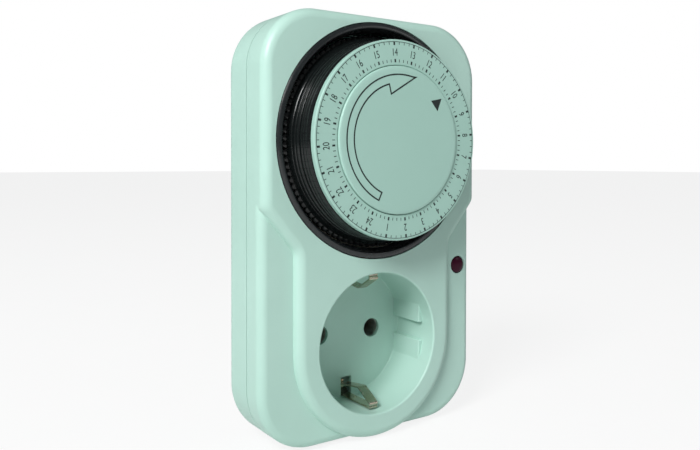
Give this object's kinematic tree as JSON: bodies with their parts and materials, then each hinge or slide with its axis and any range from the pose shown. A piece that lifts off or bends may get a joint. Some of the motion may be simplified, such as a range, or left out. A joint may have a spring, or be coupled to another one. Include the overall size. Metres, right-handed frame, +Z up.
{
  "type": "programmable timer",
  "caption": "Plug-in mechanical day timer: sliding segments round a turning hour dial, earthed socket outlet, signal lamp and rear plug.",
  "frame": {"origin": "centre of the plug's end face, halfway between the two pins", "axes": "+Y out of the plug, along its pins; +Z up, towards the dial; the dial and socket outlet face -Y"},
  "size_m": [0.074, 0.0681, 0.12],
  "materials": {
    "housing": "satin pale moulded plastic",
    "dial_black": "glossy black moulded plastic",
    "scale_white": "satin pale plastic with printed dark marks",
    "natural_plastic": "matt natural acetal",
    "switch_plastic": "matt dark thermoset",
    "lamp_red": "glossy dark red translucent plastic",
    "lamp_glass": "clear",
    "contact_brass": "bright rolled brass",
    "nickel": "dull nickel plate",
    "steel": "zinc plated",
    "wire_blue": "matt insulation",
    "wire_brown": "matt insulation"
  },
  "bodies": {
    "housing": {"front_cover": "housing", "rear_cover": "housing", "bezel_ring": "dial_black", "centre_cap": "scale_white", "centre_post": "natural_plastic", "movement_plate": "natural_plastic", "lamp_resistor": "natural_plastic", "switch_base": "switch_plastic", "lamp_lens": "lamp_red", "neon_lamp": "lamp_glass", "fixed_contact": "contact_brass", "load_strip": "contact_brass", "live_strip": "contact_brass", "neutral_strip": "contact_brass", "socket_sleeve_live": "nickel", "socket_sleeve_neutral": "nickel", "plug_pin_live": "nickel", "plug_pin_neutral": "nickel", "earth_strip_upper": "nickel", "earth_strip_lower": "nickel", "earth_bridge": "nickel", "reduction_arbor": "steel", "motor_can": "steel", "lever_pin": "steel", "housing_screw_1": "steel", "housing_screw_2": "steel", "housing_screw_3": "steel", "housing_screw_4": "steel", "motor_lead_neutral": "wire_blue", "motor_lead_live": "wire_brown", "lamp_lead": "wire_brown"},
    "dial": {"program_drum": "dial_black", "scale_disc": "scale_white", "dial_gear": "natural_plastic", "clutch_spring": "steel"},
    "reduction_gear": {"reduction_gear": "natural_plastic"},
    "motor_shaft": {"motor_pinion": "contact_brass"},
    "follower_lever": {"follower_lever": "natural_plastic"},
    "contact_blade": {"contact_blade": "contact_brass"},
    "earth_leaf_upper": {"earth_leaf_upper": "nickel"},
    "earth_leaf_lower": {"earth_leaf_lower": "nickel"},
    "tripper_01": {"tripper_01": "dial_black"},
    "tripper_02": {"tripper_02": "dial_black"},
    "tripper_03": {"tripper_03": "dial_black"},
    "tripper_04": {"tripper_04": "dial_black"},
    "tripper_05": {"tripper_05": "dial_black"},
    "tripper_06": {"tripper_06": "dial_black"},
    "tripper_07": {"tripper_07": "dial_black"},
    "tripper_08": {"tripper_08": "dial_black"},
    "tripper_09": {"tripper_09": "dial_black"},
    "tripper_10": {"tripper_10": "dial_black"},
    "tripper_11": {"tripper_11": "dial_black"},
    "tripper_12": {"tripper_12": "dial_black"},
    "tripper_bank_1": {"tripper_bank_1": "dial_black"},
    "tripper_bank_2": {"tripper_bank_2": "dial_black"},
    "tripper_bank_3": {"tripper_bank_3": "dial_black"},
    "tripper_bank_4": {"tripper_bank_4": "dial_black"},
    "tripper_bank_5": {"tripper_bank_5": "dial_black"},
    "tripper_bank_6": {"tripper_bank_6": "dial_black"},
    "tripper_bank_7": {"tripper_bank_7": "dial_black"}
  },
  "joints": [
    {"name": "dial_turn", "type": "hinge", "parent": "housing", "child": "dial", "pos_m": [0, -0.0395, 0.0576], "axis": [0, 1, 0], "continuous": true},
    {"name": "reduction_gear_turn", "type": "hinge", "parent": "housing", "child": "reduction_gear", "pos_m": [-0.02164, -0.0315, 0.03596], "axis": [0, 1, 0], "continuous": true},
    {"name": "motor_shaft_turn", "type": "hinge", "parent": "housing", "child": "motor_shaft", "pos_m": [-0.01539, -0.0315, 0.04679], "axis": [0, 1, 0], "continuous": true},
    {"name": "follower_lever_rock", "type": "hinge", "parent": "housing", "child": "follower_lever", "pos_m": [0.0223, -0.0279, 0.0595], "axis": [-1, 0, 0], "range_deg": [0, 5], "stiffness_Nm_per_rad": 0.05},
    {"name": "contact_blade_flex", "type": "hinge", "parent": "housing", "child": "contact_blade", "pos_m": [0.0223, -0.0267, 0.037], "axis": [1, 0, 0], "range_deg": [0, 5]},
    {"name": "earth_leaf_upper_flex", "type": "hinge", "parent": "housing", "child": "earth_leaf_upper", "pos_m": [0, -0.0361, 0.0184], "axis": [1, 0, 0], "range_deg": [0, 5], "stiffness_Nm_per_rad": 0.1},
    {"name": "earth_leaf_lower_flex", "type": "hinge", "parent": "housing", "child": "earth_leaf_lower", "pos_m": [0, -0.0361, -0.0184], "axis": [-1, 0, 0], "range_deg": [0, 5], "stiffness_Nm_per_rad": 0.1},
    {"name": "tripper_01_slide", "type": "slide", "parent": "dial", "child": "tripper_01", "axis": [0, 1, 0], "range_m": [0, 0.002]},
    {"name": "tripper_02_slide", "type": "slide", "parent": "dial", "child": "tripper_02", "axis": [0, 1, 0], "range_m": [0, 0.002]},
    {"name": "tripper_03_slide", "type": "slide", "parent": "dial", "child": "tripper_03", "axis": [0, 1, 0], "range_m": [0, 0.002]},
    {"name": "tripper_04_slide", "type": "slide", "parent": "dial", "child": "tripper_04", "axis": [0, 1, 0], "range_m": [0, 0.002]},
    {"name": "tripper_05_slide", "type": "slide", "parent": "dial", "child": "tripper_05", "axis": [0, 1, 0], "range_m": [0, 0.002]},
    {"name": "tripper_06_slide", "type": "slide", "parent": "dial", "child": "tripper_06", "axis": [0, 1, 0], "range_m": [0, 0.002]},
    {"name": "tripper_07_slide", "type": "slide", "parent": "dial", "child": "tripper_07", "axis": [0, 1, 0], "range_m": [0, 0.002]},
    {"name": "tripper_08_slide", "type": "slide", "parent": "dial", "child": "tripper_08", "axis": [0, 1, 0], "range_m": [0, 0.002]},
    {"name": "tripper_09_slide", "type": "slide", "parent": "dial", "child": "tripper_09", "axis": [0, 1, 0], "range_m": [0, 0.002]},
    {"name": "tripper_10_slide", "type": "slide", "parent": "dial", "child": "tripper_10", "axis": [0, 1, 0], "range_m": [0, 0.002]},
    {"name": "tripper_11_slide", "type": "slide", "parent": "dial", "child": "tripper_11", "axis": [0, 1, 0], "range_m": [0, 0.002]},
    {"name": "tripper_12_slide", "type": "slide", "parent": "dial", "child": "tripper_12", "axis": [0, 1, 0], "range_m": [0, 0.002]},
    {"name": "tripper_bank_1_slide", "type": "slide", "parent": "dial", "child": "tripper_bank_1", "axis": [0, 1, 0], "range_m": [0, 0.002]},
    {"name": "tripper_bank_2_slide", "type": "slide", "parent": "dial", "child": "tripper_bank_2", "axis": [0, 1, 0], "range_m": [0, 0.002]},
    {"name": "tripper_bank_3_slide", "type": "slide", "parent": "dial", "child": "tripper_bank_3", "axis": [0, 1, 0], "range_m": [0, 0.002]},
    {"name": "tripper_bank_4_slide", "type": "slide", "parent": "dial", "child": "tripper_bank_4", "axis": [0, 1, 0], "range_m": [0, 0.002]},
    {"name": "tripper_bank_5_slide", "type": "slide", "parent": "dial", "child": "tripper_bank_5", "axis": [0, 1, 0], "range_m": [0, 0.002]},
    {"name": "tripper_bank_6_slide", "type": "slide", "parent": "dial", "child": "tripper_bank_6", "axis": [0, 1, 0], "range_m": [0, 0.002]},
    {"name": "tripper_bank_7_slide", "type": "slide", "parent": "dial", "child": "tripper_bank_7", "axis": [0, 1, 0], "range_m": [0, 0.002]}
  ],
  "couplings": [
    {"joint": "reduction_gear_turn", "follows": "dial_turn", "ratio": -7.5},
    {"joint": "motor_shaft_turn", "follows": "dial_turn", "ratio": 30},
    {"joint": "contact_blade_flex", "follows": "follower_lever_rock", "ratio": 1}
  ]
}
